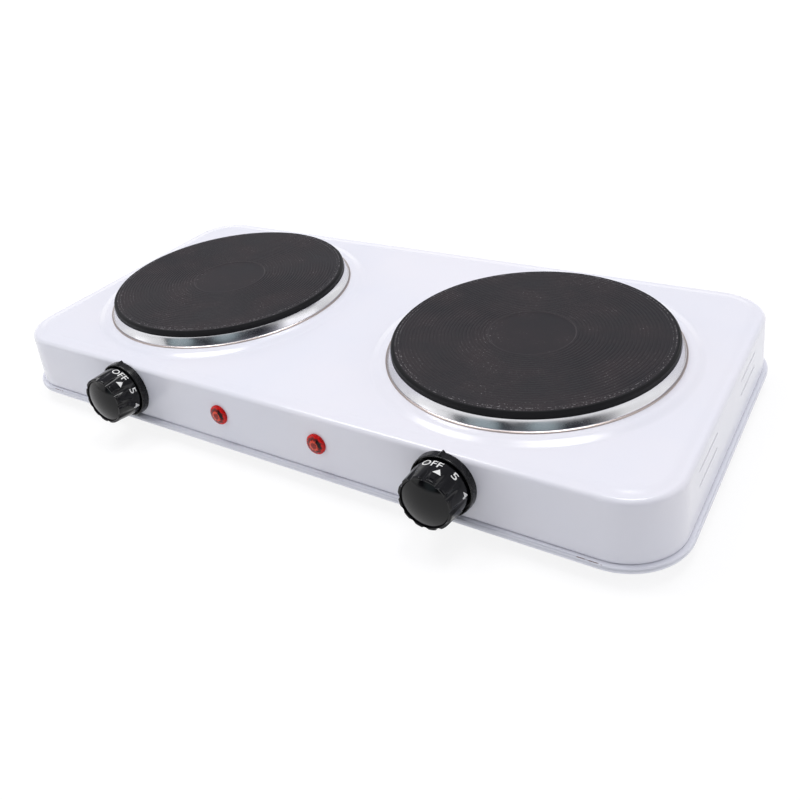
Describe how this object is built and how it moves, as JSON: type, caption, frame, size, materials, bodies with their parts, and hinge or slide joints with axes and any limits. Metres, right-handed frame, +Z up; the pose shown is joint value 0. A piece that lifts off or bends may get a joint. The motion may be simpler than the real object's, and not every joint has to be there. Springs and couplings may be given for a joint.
{
  "type": "electric hot plate",
  "caption": "Electric hot plate: cast-iron plates in bright trim rings on a white pressed steel housing, with black rotary heat controls and red pilot lamps on the front wall, and rubber feet",
  "frame": {"origin": "on the table, under the middle of the bounding box", "axes": "+X to the right as the knobs are faced, +Y from the knobs to the rear, +Z up"},
  "size_m": [0.442, 0.234, 0.056],
  "materials": {
    "cover_enamel": "smooth gloss stoved enamel on pressed steel, white",
    "pan_enamel": "smooth stoved enamel on steel, white",
    "zinc": "bright zinc plating",
    "foot_rubber": "moulded black rubber",
    "plate_iron": "turned cast iron under a dark heat-proof coating",
    "trim_chrome": "polished stainless steel",
    "element_ceramic": "unglazed ceramic",
    "bright_steel": "plain mild steel",
    "bead_ceramic": "unglazed steatite",
    "reflector_aluminium": "aluminised sheet",
    "black_gloss": "moulded black phenolic resin",
    "knob_gloss": "moulded black phenolic resin",
    "lamp_red": "clear red moulded lens",
    "white_plastic": "moulded polyamide, natural white",
    "spring_steel": "plain spring steel",
    "gland_rubber": "moulded black rubber",
    "tag_brass": "plain brass",
    "lead_silicone": "silicone sleeving"
  },
  "bodies": {
    "housing": {"top_cover": "cover_enamel", "base_pan": "pan_enamel", "support_posts": "zinc", "foot_front_left": "foot_rubber", "foot_front_right": "foot_rubber", "foot_rear_left": "foot_rubber", "foot_rear_right": "foot_rubber", "foot_screws": "zinc", "heating_plate_left": "plate_iron", "heating_plate_right": "plate_iron", "trim_ring_left": "trim_chrome", "trim_ring_right": "trim_chrome", "heating_element_left": "element_ceramic", "heating_element_right": "element_ceramic", "element_lid_left": "bright_steel", "element_lid_right": "bright_steel", "terminal_beads_left": "bead_ceramic", "terminal_beads_right": "bead_ceramic", "reflector_left": "reflector_aluminium", "reflector_right": "reflector_aluminium", "clamp_bar_left": "zinc", "clamp_bar_right": "zinc", "plate_stud_left": "zinc", "plate_stud_right": "zinc", "stud_washers": "zinc", "stud_nuts": "zinc", "knob_bezel_left": "black_gloss", "knob_bezel_right": "black_gloss", "thermostat_left": "element_ceramic", "thermostat_right": "element_ceramic", "thermostat_bracket_left": "zinc", "thermostat_bracket_right": "zinc", "thermostat_screws": "zinc", "lamp_lens_left": "lamp_red", "lamp_lens_right": "lamp_red", "lamp_body_left": "white_plastic", "lamp_body_right": "white_plastic", "lamp_clips": "spring_steel", "cord_gland": "gland_rubber", "terminal_block": "white_plastic", "terminal_block_screws": "zinc", "earth_tag": "tag_brass", "earth_screw": "zinc", "wiring": "lead_silicone"},
    "left_control": {"knob_left": "knob_gloss", "control_shaft_left": "bright_steel"},
    "right_control": {"knob_right": "knob_gloss", "control_shaft_right": "bright_steel"}
  },
  "joints": [
    {"name": "left_knob_turn", "type": "hinge", "parent": "housing", "child": "left_control", "pos_m": [-0.1105, -0.09494, 0.028], "axis": [0, 0.9961, -0.0881], "range_deg": [-29, 281]},
    {"name": "right_knob_turn", "type": "hinge", "parent": "housing", "child": "right_control", "pos_m": [0.1105, -0.09494, 0.028], "axis": [0, 0.9961, -0.0881], "range_deg": [0, 310]}
  ]
}
